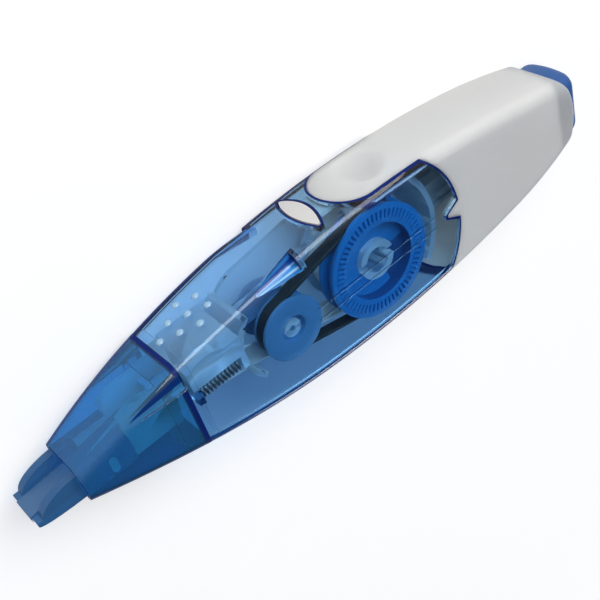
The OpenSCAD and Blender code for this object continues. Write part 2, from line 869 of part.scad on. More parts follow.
// The tip: a blade between two cheeks, and a socket over the cartridge's arms
blade_y = -1.8;
tip_low = blade_y - 0.29 * tip_h;
tip_high = tip_low + tip_h;
cheek_len = tip_reach + 1;
edge_x = tip_x + tape_t + plug_gap;
blade_t = 0.7;
blade_rise = 0.8;
blade_x1 = arm_x0 - 0.4;
lip_len = 1.2;
head_x1 = housing_x0 - plug_gap;
curve_steps = 10;

module cheek_side() {
    lip_y = blade_y + blade_t / 2;
    upper = [for (k = [0:curve_steps]) let (t = 90 * k / curve_steps)
        [edge_x + lip_len + (cheek_len - lip_len) * (1 - cos(t)), lip_y + (tip_high - lip_y) * sin(t)]];
    lower = [for (k = [curve_steps:-1:0]) let (t = 90 * k / curve_steps)
        [
            edge_x + cheek_len * (1 - cos(t)),
            blade_y - blade_t / 2 + (tip_low - blade_y + blade_t / 2) * sin(t)
        ]];
    polygon(concat([[edge_x, lip_y]], upper, [[head_x1, tip_high], [head_x1, tip_low]], lower));
}

module blade_side() {
    polygon([
        [edge_x, blade_y - blade_t / 2], [edge_x, blade_y + blade_t / 2],
        [blade_x1, blade_y + blade_t / 2 + blade_rise], [blade_x1, blade_y - blade_t / 2]
    ]);
}

module tip_head() {
    half = tip_w / 2;
    inner = channel_w / 2;
    color([0.3, 0.52, 0.78, 0.7]) lifted() {
        difference() {
            along_z(-half, half) cheek_side();
            difference() {
                block(tip_x - 1, head_x1 + 1, -far_out, far_out, -inner, inner);
                along_z(-inner, inner) blade_side();
            }
            for (s = [-1, 1]) {
                z0 = s > 0 ? rail_z0 - free_gap : -rail_z1 - plug_gap;
                block(
                    arm_x0 - plug_gap, head_x1 + 1, arm_y0 - plug_gap, arm_y1 + plug_gap,
                    z0, z0 + rail_t + free_gap + plug_gap
                );
            }
            along_z(-half - 1, half + 1) snap_side(plug_gap);
        }
    }
}

// Cross pins between the arms lead the tape to and from the tip
pin_x = arm_root_x - 4.5;
feed_pin_y = housing_y0 + guide_pin_r + free_gap;
return_pin_y = arm_y1 + 2 * guide_pin_r;

module guide_pin(y) {
    post(pin_x, y, guide_pin_r, -rail_z0, rail_z0);
}

module feed_guide_pin() {
    color("white") lifted() guide_pin(feed_pin_y);
}

module return_guide_pin() {
    color("white") lifted() guide_pin(return_pin_y);
}

// The supply reel: a pulley with a ratchet face, a tape core and a slipping washer
module supply_pulley() {
    bore = supply_post_r + run_gap;
    color([0.12, 0.38, 0.75]) lifted() translate([supply_x, 0, 0]) {
        rotate_extrude() polygon([
            [bore, seat_z + end_play], [hub_r, seat_z + end_play], [hub_r, flange_z0],
            [flange_r, flange_z0], [flange_r, groove_z0], [pulley_r, groove_z0],
            [pulley_r, groove_z1], [flange_r, groove_z1], [flange_r, face_z],
            [ratchet_r + ratchet_len, face_z], [ratchet_r + ratchet_len, face_z - ratchet_depth],
            [ratchet_r, face_z - ratchet_depth], [ratchet_r, face_z],
            [cup_r, face_z], [cup_r, cup_floor_z], [bore, cup_floor_z]
        ]);
        for (k = [0:ratchet_count - 1])
            rotate([0, 0, 360 * k / ratchet_count])
                translate([ratchet_r - ratchet_h, -ratchet_w / 2, face_z - ratchet_depth - ratchet_h])
                    cube([ratchet_len + ratchet_h, ratchet_w, ratchet_depth + 2 * ratchet_h]);
    }
}

core_bore = hub_r + plug_gap;
washer_t = 0.4;

module supply_core() {
    color([0.85, 0.9, 0.95]) lifted() translate([supply_x, 0, 0]) rotate_extrude() polygon([
        [core_bore, far_flange_z - flange_t], [flange_r - 1, far_flange_z - flange_t],
        [flange_r - 1, far_flange_z], [core_r, far_flange_z],
        [core_r, flange_z0 - washer_t], [core_bore, flange_z0 - washer_t]
    ]);
}

module clutch_washer() {
    color([0.2, 0.2, 0.22]) lifted() translate([supply_x, 0, 0]) rotate_extrude()
        translate([core_bore, flange_z0 - washer_t]) square([core_r - core_bore, washer_t]);
}

module supply_tape_roll() {
    color([0.95, 0.95, 0.93]) lifted() translate([supply_x, 0, 0]) rotate_extrude()
        translate([core_r, -tape_z]) square([supply_roll_r - core_r, tape_w]);
}

// The take-up reel and the used tape on it
take_up_hub_r = 3;
take_up_cup_r = 2.6;
take_up_far_r = take_up_disc_r - 1;
take_up_near_r = take_up_disc_r - 0.4;

module take_up_spool() {
    bore = take_up_post_r + run_gap;
    color([0.5, 0.68, 0.9, 0.8]) lifted() translate([take_up_x, 0, 0]) rotate_extrude() polygon([
        [bore, seat_z + end_play], [take_up_far_r, seat_z + end_play], [take_up_far_r, far_flange_z],
        [take_up_hub_r, far_flange_z], [take_up_hub_r, flange_z0], [take_up_near_r, flange_z0],
        [take_up_near_r, groove_z0], [take_up_pulley_r, groove_z0], [take_up_pulley_r, groove_z1],
        [take_up_disc_r, groove_z1], [take_up_disc_r, face_z], [take_up_cup_r, face_z],
        [take_up_cup_r, take_up_cup_z], [bore, take_up_cup_z]
    ]);
}

module take_up_tape_roll() {
    color([0.75, 0.78, 0.8]) lifted() translate([take_up_x, 0, 0]) rotate_extrude()
        translate([take_up_hub_r, -tape_z]) square([take_up_roll_r - take_up_hub_r, tape_w]);
}

// The belt runs round both pulleys, and its sides are tangents
belt_gap = 0.1;
belt_steps = 64;

module belt_side(grow) {
    r1 = pulley_r + belt_gap + grow;
    r2 = take_up_pulley_r + belt_gap + grow;
    a = acos((r1 - r2) / (supply_x - take_up_x));
    polygon(concat(
        [for (k = [0:belt_steps]) polar(supply_x, r1, (180 - a) * (2 * k / belt_steps - 1))],
        [for (k = [0:belt_steps]) polar(take_up_x, r2, 180 - a + 2 * a * k / belt_steps)]
    ));
}

module drive_belt() {
    color([0.06, 0.06, 0.07]) lifted() along_z(belt_z0, belt_z1) difference() {
        belt_side(belt_t);
        belt_side(0);
    }
}

// The tape's runs: from the supply roll to the tip along its lower side, and back over it
run_gap_to_roll = 0.15;

// Where a run leaves a roll of radius r about x, on its way to p: side 1 is above
function roll_touch(x, r, p, side) = let (
    d = norm(p - [x, 0]),
    a = atan2(p[1], p[0] - x),
    b = acos(r / d)
) polar(x, r, a - side * b);

feed_bend = [pin_x, feed_pin_y + guide_pin_r + run_gap];
return_bend = [pin_x, return_pin_y - guide_pin_r - run_gap - tape_t];
feed_start = roll_touch(supply_x, supply_roll_r + run_gap_to_roll + tape_t, feed_bend, -1);
return_end = roll_touch(take_up_x, take_up_roll_r + run_gap_to_roll, return_bend, 1);
function on_line(p, q, x) = p[1] + (q[1] - p[1]) * (x - p[0]) / (q[0] - p[0]);
feed_wall_y = on_line(feed_start, feed_bend, take_up_x - front_wall_r);
return_wall_y = on_line(return_end, return_bend, take_up_x - front_wall_r);

// The outline of a run whose lower face takes the points low, closed by the bend round the tip's edge
module run_side(low, bend) {
    upper = [for (k = [len(low) - 1:-1:1]) low[k] + [0, tape_t]];
    polygon(concat(low, upper, bend));
}

module feed_tape() {
    y = blade_y - blade_t / 2 - plug_gap - tape_t;
    x = tip_x + tape_t;
    color([0.95, 0.95, 0.93]) lifted() along_z(-tape_z, tape_z) run_side(
        [[tip_x, y], [blade_x1, y], feed_bend, feed_start],
        [[x, y + tape_t], [x, blade_y], [tip_x, blade_y]]
    );
}

module return_tape() {
    y = blade_y + blade_t / 2 + plug_gap;
    x = tip_x + tape_t;
    color([0.8, 0.82, 0.84]) lifted() along_z(-tape_z, tape_z) run_side(
        [[x, y], [blade_x1, y + blade_rise], return_bend, return_end],
        [[tip_x, y + tape_t], [tip_x, blade_y], [x, blade_y]]
    );
}

front_shell();
nose_cone();
rear_shell();
release_latch();
knock_button();
push_rod();
lock_follower();
return_spring();
cartridge_frame();
tip_head();
feed_guide_pin();
return_guide_pin();
supply_pulley();
supply_core();
clutch_washer();
supply_tape_roll();
take_up_spool();
take_up_tape_roll();
drive_belt();
feed_tape();
return_tape();
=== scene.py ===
import math

import bmesh
import bpy
from mathutils import Matrix, Vector


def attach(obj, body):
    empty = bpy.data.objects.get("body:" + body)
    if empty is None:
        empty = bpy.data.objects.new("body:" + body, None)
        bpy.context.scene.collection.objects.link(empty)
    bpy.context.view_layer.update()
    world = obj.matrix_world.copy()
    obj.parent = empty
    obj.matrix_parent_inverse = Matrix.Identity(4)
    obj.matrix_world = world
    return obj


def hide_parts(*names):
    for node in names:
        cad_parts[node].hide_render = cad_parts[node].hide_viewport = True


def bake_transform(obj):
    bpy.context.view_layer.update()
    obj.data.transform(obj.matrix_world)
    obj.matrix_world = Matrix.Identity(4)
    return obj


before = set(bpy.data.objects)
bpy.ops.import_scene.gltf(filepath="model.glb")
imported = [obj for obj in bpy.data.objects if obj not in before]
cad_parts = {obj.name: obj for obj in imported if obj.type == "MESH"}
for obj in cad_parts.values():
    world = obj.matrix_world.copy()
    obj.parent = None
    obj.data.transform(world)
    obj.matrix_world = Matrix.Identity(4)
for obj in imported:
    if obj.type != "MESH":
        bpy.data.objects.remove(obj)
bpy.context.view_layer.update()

MM = 0.001
DRAWN_AT = Vector((0.65, 0, 8.5))  # where the drawings' origin stands in the frame, mm

# Places and sizes of the casing, in mm: the tip points to -X, the knock button to +X
MOUTH_X = -58.2
NOSE_X = -36.0
FLAT_X0, FLAT_X1 = -8.0, 44.0
BELLY_X = 7.5
RIM_X = 63.0
HALF_HEIGHT, HALF_DEPTH = 14.4, 8.5
WALL = 1.2
CROWN = 1.2
SKIN_CORNER = 2.0
NOSE_DROOP = 0.7
NOSE_PROUD = 0.25  # how far the nose stands out past the shell
SUPPLY_X = 8.0
SPLIT_R = 19.8
TONGUE_R = 7.0
SCALLOP_X0, SCALLOP_X1 = -22.5, -9.0
SCALLOP_R0, SCALLOP_R1 = 0.2, 2.8
SCALLOP_OUT = 0.2
DISH_X, DISH_R, DISH_DEPTH = 13.5, 5.2, 1.9
LATCH_PIVOT = Vector((6.2, 13.0, 0))
TIP_X, LIP_LOW, LIP_HIGH = -67.25, -2.15, -1.45
FAR = 20  # reach of a cutter that passes right through the casing
PLASTIC_IOR = 1.49


# The casing's form

def fall_radius(length, fall):
    return (length * length + fall * fall) / (2 * fall)


def drop(length, radius):
    return radius - math.sqrt(radius * radius - length * length)


def ease(x, a, b):
    t = min(1.0, max(0.0, (x - a) / (b - a)))
    return t * t * (3 - 2 * t)


NOSE_ARC = fall_radius(BELLY_X - MOUTH_X, 10.7)
TAIL_ARC = fall_radius(RIM_X - BELLY_X, 7.6)
NOSE_TAPER = fall_radius(FLAT_X0 - MOUTH_X, 2.5)
TAIL_TAPER = fall_radius(RIM_X - FLAT_X1, 1.5)


def half_height(x):
    return HALF_HEIGHT - drop(x - BELLY_X, NOSE_ARC if x < BELLY_X else TAIL_ARC)


def half_depth(x):
    taper = drop(max(0.0, FLAT_X0 - x), NOSE_TAPER) + drop(max(0.0, x - FLAT_X1), TAIL_TAPER)
    return HALF_DEPTH - taper


def crown_share(x, z, inset):
    return ease(x, NOSE_X, BELLY_X) * max(0.0, 1 - (z / (half_depth(x) - inset)) ** 2)


def droop(x):
    return -NOSE_DROOP * max(0.0, (NOSE_X - x) / (NOSE_X - MOUTH_X)) ** 2


# Work on a piece

def only(*pieces):
    bpy.ops.object.select_all(action="DESELECT")
    for piece in pieces:
        piece.select_set(True)
    bpy.context.view_layer.objects.active = pieces[0]


def open_up(piece):
    only(piece)
    bpy.ops.object.mode_set(mode="EDIT")


def close_up():
    bpy.ops.object.mode_set(mode="OBJECT")


def pick(piece, kind, test):
    bpy.ops.mesh.select_mode(type=kind)
    bpy.ops.mesh.select_all(action="DESELECT")
    mesh = bmesh.from_edit_mesh(piece.data)
    for part in {"VERT": mesh.verts, "EDGE": mesh.edges, "FACE": mesh.faces}[kind]:
        if test(part):
            part.select_set(True)
    mesh.select_flush_mode()
    bmesh.update_edit_mesh(piece.data)


def edge_run(edge):
    a, b = (v.co for v in edge.verts)
    return Vector((abs(a.x - b.x), abs(a.y - b.y), abs(a.z - b.z)))


def runs_along(edge, axis, least):
    run = edge_run(edge)
    others = [getattr(run, other) for other in "xyz" if other != axis]
    return getattr(run, axis) > least and max(others) < 1e-3


def placed(name):
    bpy.ops.object.transform_apply(location=True, rotation=True, scale=True)
    piece = bpy.context.object
    piece.name = name
    return piece


def block(name, x0, x1, y0, y1, z0, z1):
    bpy.ops.object.select_all(action="DESELECT")
    bpy.ops.mesh.primitive_cube_add(
        size=1, location=((x0 + x1) / 2, (y0 + y1) / 2, (z0 + z1) / 2),
        scale=(x1 - x0, y1 - y0, z1 - z0)
    )
    return placed(name)


def turned(name, start, end, radius, end_radius=None, vertices=96):
    a, b = Vector(start), Vector(end)
    bpy.ops.object.select_all(action="DESELECT")
    bpy.ops.mesh.primitive_cone_add(
        vertices=vertices, radius1=radius, radius2=radius if end_radius is None else end_radius,
        depth=(b - a).length, location=(a + b) / 2, rotation=(b - a).to_track_quat("Z", "Y").to_euler()
    )
    return placed(name)


def apply_all(piece):
    only(piece)
    for modifier in list(piece.modifiers):
        bpy.ops.object.modifier_apply(modifier=modifier.name)


def combine(piece, other, how):
    modifier = piece.modifiers.new("cut", "BOOLEAN")
    modifier.operation = how
    modifier.solver = "EXACT"
    modifier.material_mode = "TRANSFER"
    modifier.object = other
    apply_all(piece)
    bpy.data.objects.remove(other)
    return piece


def less(piece, *others):
    for other in others:
        combine(piece, other, "DIFFERENCE")
    return piece


def plus(piece, *others):
    for other in others:
        combine(piece, other, "UNION")
    return piece


def within(piece, *others):
    for other in others:
        combine(piece, other, "INTERSECT")
    return piece


def soften(piece, width, segments=3, angle=35):
    modifier = piece.modifiers.new("soft edges", "BEVEL")
    modifier.width = width
    modifier.segments = segments
    modifier.limit_method = "ANGLE"
    modifier.angle_limit = math.radians(angle)
    modifier.use_clamp_overlap = True
    apply_all(piece)


def clean(piece, merge=0.002, angle=32):
    open_up(piece)
    bpy.ops.mesh.select_all(action="SELECT")
    bpy.ops.mesh.remove_doubles(threshold=merge)
    bpy.ops.mesh.normals_make_consistent(inside=False)
    close_up()
    only(piece)
    bpy.ops.object.shade_smooth_by_angle(angle=math.radians(angle))


def settle(piece, body, slot, finish, *nodes):
    """Lays a piece that was drawn in mm about the middle plane onto the table, in metres."""
    only(piece)
    piece.location = DRAWN_AT * MM
    piece.scale = (MM, MM, MM)
    bpy.ops.object.transform_apply(location=True, rotation=True, scale=True)
    if finish:
        dress(piece, finish)
    if body:
        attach(piece, body)
    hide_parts(*nodes)
    return piece


def dress(piece, finish):
    piece.data.materials.clear()
    piece.data.materials.append(finish)
    return piece


def paint(piece, finish, test):
    """Gives the faces that the test picks a finish of their own."""
    piece.data.materials.append(finish)
    open_up(piece)
    pick(piece, "FACE", test)
    piece.active_material_index = len(piece.data.materials) - 1
    bpy.ops.object.material_slot_assign()
    close_up()
    return piece


# Casing blocks: a bar is cut into bands, each band is sized, the long corners are rounded
# and the faces crowned

def raise_faces(piece, name, direction, share):
    group = piece.vertex_groups.new(name=name)
    for v in piece.data.vertices:
        weight = share(v.co)
        if weight > 1e-4:
            group.add([v.index], weight, "REPLACE")
    modifier = piece.modifiers.new(name, "DISPLACE")
    modifier.direction = "Y"
    modifier.strength = direction
    modifier.mid_level = 0
    modifier.vertex_group = name
    apply_all(piece)
    piece.vertex_groups.clear()


def casing_block(name, x0, x1, bands, inset, corner, across=10, segments=6):
    bar = block(name, x0, x1, -0.5, 0.5, -0.5, 0.5)
    open_up(bar)
    pick(bar, "EDGE", lambda e: edge_run(e).x > 0.5 * (x1 - x0))
    bpy.ops.mesh.subdivide(number_cuts=bands - 1)
    for k in range(bands + 1):
        x = x0 + (x1 - x0) * k / bands
        pick(bar, "VERT", lambda v: abs(v.co.x - x) < 1e-3)
        bpy.ops.transform.resize(
            value=(1, 2 * (half_height(x) - inset), 2 * (half_depth(x) - inset)),
            center_override=(x, 0, 0)
        )
        if droop(x):
            bpy.ops.transform.translate(value=(0, droop(x), 0))
    pick(bar, "EDGE", lambda e: edge_run(e).x > 1e-3)
    bpy.ops.mesh.bevel(offset=corner, segments=segments, profile=0.5, affect="EDGES")
    pick(bar, "EDGE", lambda e: runs_along(e, "z", 2 * corner))
    bpy.ops.mesh.subdivide(number_cuts=across - 1)
    pick(bar, "EDGE", lambda e: runs_along(e, "y", 1.5 * corner))
    bpy.ops.mesh.subdivide(number_cuts=across - 1)
    close_up()
    for side, label in ((1, "upper face"), (-1, "lower face")):
        raise_faces(
            bar, label, side * CROWN,
            lambda co: crown_share(co.x, co.z, inset) if (co.y - droop(co.x)) * side > 0 else 0
        )
    return bar


# Finishes

def group_of(name, inputs, outputs):
    group = bpy.data.node_groups.new(name, "ShaderNodeTree")
    for label, kind, value in inputs:
        socket = group.interface.new_socket(label, in_out="INPUT", socket_type=kind)
        socket.default_value = value
    for label, kind in outputs:
        group.interface.new_socket(label, in_out="OUTPUT", socket_type=kind)
    return group, group.nodes.new("NodeGroupInput"), group.nodes.new("NodeGroupOutput")


def work_out(nodes, link, how, *given):
    """A Math node; what is given is a number or another node's output."""
    node = nodes.new("ShaderNodeMath")
    node.operation = how
    for socket, value in zip(node.inputs, given):
        if isinstance(value, float):
            socket.default_value = value
        else:
            link(value, socket)
    return node


def work_out_vector(nodes, link, how, given, other=None):
    node = nodes.new("ShaderNodeVectorMath")
    node.operation = how
    link(given, node.inputs[0])
    if other is not None:
        node.inputs[1].default_value = other
    return node.outputs["Value" if how in ("LENGTH", "DOT_PRODUCT") else "Vector"]


def spread_out(nodes, link, value, low, high, start=0.0, end=1.0):
    """Maps a value that runs from low to high onto start to end."""
    node = nodes.new("ShaderNodeMapRange")
    for label, number in (("From Min", low), ("From Max", high), ("To Min", start), ("To Max", end)):
        node.inputs[label].default_value = number
    link(value, node.inputs["Value"])
    return node.outputs[0]


def between(nodes, link, share, low, high):
    """A colour that goes from low to high with the share."""
    node = nodes.new("ShaderNodeMix")
    node.data_type = "RGBA"
    node.inputs[6].default_value = (*low, 1)
    node.inputs[7].default_value = (*high, 1)
    link(share, node.inputs[0])
    return node.outputs[2]


def moulded_surface():
    """Fine moulding texture: an uneven sheen, a faint waviness and a slight change of shade."""
    number = "NodeSocketFloat"
    group, given, out = group_of(
        "Moulded surface",
        [("Grain", number, 900.0), ("Roughness", number, 0.3), ("Spread", number, 0.1),
         ("Waviness", number, 0.5)],
        [("Roughness", number), ("Height", number), ("Shade", number)],
    )
    nodes, add, link = group.nodes, group.nodes.new, group.links.new
    where = add("ShaderNodeTexCoord")
    grain = add("ShaderNodeTexNoise")
    grain.inputs["Detail"].default_value = 4
    link(where.outputs["Object"], grain.inputs["Vector"])
    link(given.outputs["Grain"], grain.inputs["Scale"])
    cloud = add("ShaderNodeTexNoise")
    cloud.inputs["Scale"].default_value = 90
    cloud.inputs["Detail"].default_value = 3
    link(where.outputs["Object"], cloud.inputs["Vector"])
    centred = work_out(nodes, link, "SUBTRACT", cloud.outputs["Fac"], 0.5)
    rough = work_out(
        nodes, link, "MULTIPLY_ADD", centred.outputs[0], given.outputs["Spread"], given.outputs["Roughness"]
    )
    rough.use_clamp = True
    link(rough.outputs[0], out.inputs["Roughness"])
    wave = work_out(nodes, link, "MULTIPLY", cloud.outputs["Fac"], given.outputs["Waviness"])
    height = work_out(nodes, link, "ADD", grain.outputs["Fac"], wave.outputs[0])
    link(height.outputs[0], out.inputs["Height"])
    link(cloud.outputs["Fac"], out.inputs["Shade"])
    return group


MOULDED = moulded_surface()


def new_finish(name):
    finish = bpy.data.materials.new(name)
    finish.use_nodes = True
    nodes = finish.node_tree.nodes
    return finish, nodes, finish.node_tree.links.new, nodes["Principled BSDF"], nodes["Material Output"]


def add_texture(nodes, link, shader, grain, rough, spread, waviness, bump):
    surface = nodes.new("ShaderNodeGroup")
    surface.node_tree = MOULDED
    surface.inputs["Grain"].default_value = grain
    surface.inputs["Roughness"].default_value = rough
    surface.inputs["Spread"].default_value = spread
    surface.inputs["Waviness"].default_value = waviness
    link(surface.outputs["Roughness"], shader.inputs["Roughness"])
    if bump:
        relief = nodes.new("ShaderNodeBump")
        relief.inputs["Strength"].default_value = bump
        relief.inputs["Distance"].default_value = 0.00002
        link(surface.outputs["Height"], relief.inputs["Height"])
        link(relief.outputs["Normal"], shader.inputs["Normal"])
    return surface


def solid_plastic(name, low, high, rough, spread=0.1, grain=2500.0, bump=0.25, gloss=0.5, through=0.0):
    finish, nodes, link, shader, _ = new_finish(name)
    surface = add_texture(nodes, link, shader, grain, rough, spread, 0.6, bump)
    link(between(nodes, link, surface.outputs["Shade"], low, high), shader.inputs["Base Color"])
    shader.inputs["Specular IOR Level"].default_value = gloss
    shader.inputs["Subsurface Weight"].default_value = through
    shader.inputs["Subsurface Radius"].default_value = (1.0, 0.95, 0.9)
    shader.inputs["Subsurface Scale"].default_value = 0.006
    return finish


def frost_and_shade_lower_wall(nodes, link, shader, surface, frost):
    """Roughens the wall that the hand holds from below, which follows the long arc, and tints it darker
    blue as painted shade.
    """
    where = nodes.new("ShaderNodeTexCoord")
    from_arc = nodes.new("ShaderNodeMapping")
    from_arc.inputs["Location"].default_value = (
        -(BELLY_X + DRAWN_AT.x) * MM, -(NOSE_ARC - HALF_HEIGHT) * MM, 0
    )
    from_arc.inputs["Scale"].default_value = (1, 1, 0)
    link(where.outputs["Object"], from_arc.inputs["Vector"])
    reach = work_out_vector(nodes, link, "LENGTH", from_arc.outputs[0])
    share = spread_out(nodes, link, reach, (NOSE_ARC - 1.7) * MM, (NOSE_ARC - 1.0) * MM)
    rough = work_out(nodes, link, "MULTIPLY_ADD", share, frost, surface.outputs["Roughness"])
    link(rough.outputs[0], shader.inputs["Roughness"])
    # Painted shade: the base colour goes from white to a darker blue on the lower wall
    link(between(nodes, link, share, (1, 1, 1), (0.42, 0.55, 0.72)), shader.inputs["Base Color"])


def clear_plastic(
    name, tint, density, shadow, rough, spread=0.02, bump=0.05, base=(1, 1, 1), see=1.0, frost=0.0
):
    """Plastic that tints light by its way through the wall, so that edges turn dark."""
    finish, nodes, link, shader, out = new_finish(name)
    surface = add_texture(nodes, link, shader, 600.0, rough, spread, 1.0, bump)
    if frost:
        frost_and_shade_lower_wall(nodes, link, shader, surface, frost)
    shader.inputs["Base Color"].default_value = (*base, 1)
    shader.inputs["Transmission Weight"].default_value = see
    shader.inputs["IOR"].default_value = PLASTIC_IOR
    inside = nodes.new("ShaderNodeVolumeAbsorption")
    inside.inputs["Color"].default_value = (*tint, 1)
    inside.inputs["Density"].default_value = density
    link(inside.outputs[0], out.inputs["Volume"])
    light = nodes.new("ShaderNodeLightPath")
    pane = nodes.new("ShaderNodeBsdfTransparent")
    pane.inputs["Color"].default_value = (*shadow, 1)
    pass_on = nodes.new("ShaderNodeMixShader")
    link(light.outputs["Is Shadow Ray"], pass_on.inputs[0])
    link(shader.outputs[0], pass_on.inputs[1])
    link(pane.outputs[0], pass_on.inputs[2])
    link(pass_on.outputs[0], out.inputs["Surface"])
    return finish


def scallop_ends(side):
    return [
        Vector((x, half_height(x) + SCALLOP_OUT, side * (half_depth(x) + SCALLOP_OUT)))
        for x in (SCALLOP_X0, SCALLOP_X1)
    ]


def hollow_plastic(name):
    """Painted highlights and painted shade: streaks that fan out from the point of a finger hollow, as
    light and shade drawn along its facets.
    """
    finish, nodes, link, shader, _ = new_finish(name)
    add_texture(nodes, link, shader, 2500.0, 0.1, 0.05, 0.3, 0.05)
    start, end = scallop_ends(1)
    along = (end - start).normalized()
    slope = (SCALLOP_R1 - SCALLOP_R0) / (end - start).length
    point = start - along * (SCALLOP_R0 / slope)
    where = nodes.new("ShaderNodeTexCoord")
    centred = nodes.new("ShaderNodeMapping")
    centred.inputs["Location"].default_value = -DRAWN_AT * MM
    link(where.outputs["Object"], centred.inputs["Vector"])
    folded = work_out_vector(nodes, link, "ABSOLUTE", centred.outputs[0])
    apex = Vector((-point.x, point.y, point.z)) * MM
    ray = work_out_vector(nodes, link, "NORMALIZE", work_out_vector(nodes, link, "SUBTRACT", folded, apex))
    across = work_out_vector(nodes, link, "DOT_PRODUCT", ray, (0, 1, -1))
    share = spread_out(nodes, link, across, along.y - slope, along.y + slope)
    light_streaks = nodes.new("ShaderNodeValToRGB")
    ramp = light_streaks.color_ramp.elements
    ramp[0].position, ramp[0].color = 0.0, (0.03, 0.26, 0.66, 1)
    ramp[1].position, ramp[1].color = 1.0, (0.004, 0.04, 0.25, 1)
    for place, colour in (
        (0.12, (0.02, 0.15, 0.5)), (0.22, (0.4, 0.7, 0.95)), (0.3, (0.04, 0.3, 0.72)),
        (0.42, (0.02, 0.17, 0.55)), (0.5, (0.2, 0.5, 0.85)), (0.56, (0.01, 0.08, 0.36)),
        (0.72, (0.004, 0.035, 0.22)), (0.86, (0.03, 0.22, 0.6)),
    ):
        ramp.new(place).color = (*colour, 1)
    link(share, light_streaks.inputs["Fac"])
    link(light_streaks.outputs["Color"], shader.inputs["Base Color"])
    return finish


def drawn_wire(name, low, high):
    finish, nodes, link, shader, _ = new_finish(name)
    surface = add_texture(nodes, link, shader, 3000.0, 0.34, 0.2, 0.3, 0.2)
    link(between(nodes, link, surface.outputs["Shade"], low, high), shader.inputs["Base Color"])
    shader.inputs["Metallic"].default_value = 1
    return finish


CLEAR_SHELL = clear_plastic(
    "Clear pale blue plastic", (0.02, 0.53, 0.82), 450, (0.96, 0.98, 1.0), 0.03, bump=0.015, frost=0.5
)
NOSE_BLUE = clear_plastic(
    "Deep blue clear plastic", (0.0, 0.62, 0.92), 260, (0.85, 0.94, 1.0), 0.03, bump=0.015,
    base=(0.1, 0.47, 0.75), see=0.9
)
FRAME_CLEAR = clear_plastic(
    "Frosted cartridge plastic", (0.1, 0.6, 0.92), 150, (0.9, 0.96, 1.0), 0.3, 0.1, 0.1,
    base=(0.7, 0.82, 0.92), see=0.5
)
TIP_BLUE = clear_plastic(
    "Translucent tip plastic", (0.08, 0.5, 0.88), 500, (0.5, 0.7, 0.9), 0.28, 0.1, 0.1,
    base=(0.04, 0.165, 0.37), see=0.35
)
# Painted highlight: the grip bumps are opaque and painted paler than the shell, standing in for the
# brightness of clear domes
BUMP_PAINTED_BRIGHT = solid_plastic(
    "Grip plastic painted pale as highlight", (0.3, 0.5, 0.7), (0.34, 0.55, 0.75), 0.12, 0.05, bump=0.0
)
# Painted shade: opaque navy stands in for the dark look of clear plastic along its cut edges, rims and far
# upper edge
PAINTED_EDGE_SHADE = solid_plastic(
    "Painted edge shade", (0.001, 0.012, 0.12), (0.002, 0.018, 0.17), 0.3, 0.1, 2500, 0.1, gloss=0.15
)
DEEP_SHADE = solid_plastic(
    "Shaded blue plastic", (0.004, 0.04, 0.2), (0.007, 0.055, 0.26), 0.2, 0.1, 2500, 0.1, gloss=0.3
)
GROOVE_NAVY = solid_plastic(
    "Shaded groove plastic", (0.002, 0.025, 0.15), (0.004, 0.04, 0.21), 0.3, 0.1, 2500, 0.05, gloss=0.1
)
# Painted highlights and painted shade on the finger hollows
FACET_LIGHT_STREAKS = hollow_plastic("Hollow plastic with painted light streaks")
SATIN_WHITE = solid_plastic(
    "Satin white plastic", (0.81, 0.78, 0.727), (0.85, 0.82, 0.767), 0.5, 0.1, 3000, 0.12, through=1.0
)
LATCH_WHITE = solid_plastic(
    "Glossy white plastic", (0.66, 0.65, 0.64), (0.7, 0.69, 0.68), 0.3, 0.1, 3000, 0.1
)
BUTTON_BLUE = solid_plastic(
    "Button blue plastic", (0.02, 0.09, 0.3), (0.03, 0.12, 0.36), 0.25, 0.1, 2500, 0.1
)
REEL_BLUE = solid_plastic(
    "Reel blue plastic", (0.011, 0.18, 0.49), (0.016, 0.23, 0.57), 0.35, 0.1, 2500, 0.2
)
# Painted shade: a darker reel blue for the floor of the reel's cup
REEL_CUP_SHADE = solid_plastic(
    "Reel plastic with painted cup shade", (0.006, 0.06, 0.2), (0.01, 0.08, 0.26), 0.35, 0.1, 2500, 0.2
)
SPOOL_BLUE = solid_plastic(
    "Pale spool plastic", (0.08, 0.22, 0.41), (0.1, 0.26, 0.46), 0.35, 0.1, 2500, 0.2
)
CORE_WHITE = solid_plastic("Natural bluish plastic", (0.3, 0.5, 0.66), (0.36, 0.56, 0.72), 0.4)
ROD_WHITE = solid_plastic("White rod plastic", (0.62, 0.64, 0.66), (0.68, 0.7, 0.72), 0.4)
BELT_BLACK = solid_plastic(
    "Black belt rubber", (0.004, 0.005, 0.007), (0.01, 0.011, 0.014), 0.6, 0.2, 3500, 0.5
)
WASHER_BLACK = solid_plastic(
    "Grey washer felt", (0.015, 0.015, 0.016), (0.04, 0.04, 0.042), 0.85, 0.2, 5000, 0.8
)
STEEL = drawn_wire("Drawn spring wire", (0.2, 0.2, 0.21), (0.32, 0.32, 0.33))
TAPE_WHITE = solid_plastic(
    "White correction film", (0.75, 0.75, 0.73), (0.82, 0.82, 0.8), 0.65, 0.15, 4000, 0.3
)
LINER = solid_plastic("Waxed liner", (0.05, 0.13, 0.28), (0.07, 0.17, 0.34), 0.45, 0.15, 4000, 0.2)


# Cutters along the split between the clear and the white shell, each grown over its edge by grow

def arc_zone(grow):
    zone = block("arc zone", SUPPLY_X, 70, -40, 40, -FAR, FAR)
    return less(zone, turned("arc", (SUPPLY_X, 0, -25), (SUPPLY_X, 0, 25), SPLIT_R - grow, vertices=256))


def tongue_zone(grow, y0):
    x = SUPPLY_X + 2
    bar = turned("tongue zone", (x, y0, 0), (x, 40, 0), TONGUE_R + grow, vertices=160)
    open_up(bar)
    pick(bar, "VERT", lambda v: v.co.x > x + 1e-3)
    bpy.ops.transform.translate(value=(60, 0, 0))
    close_up()
    return bar


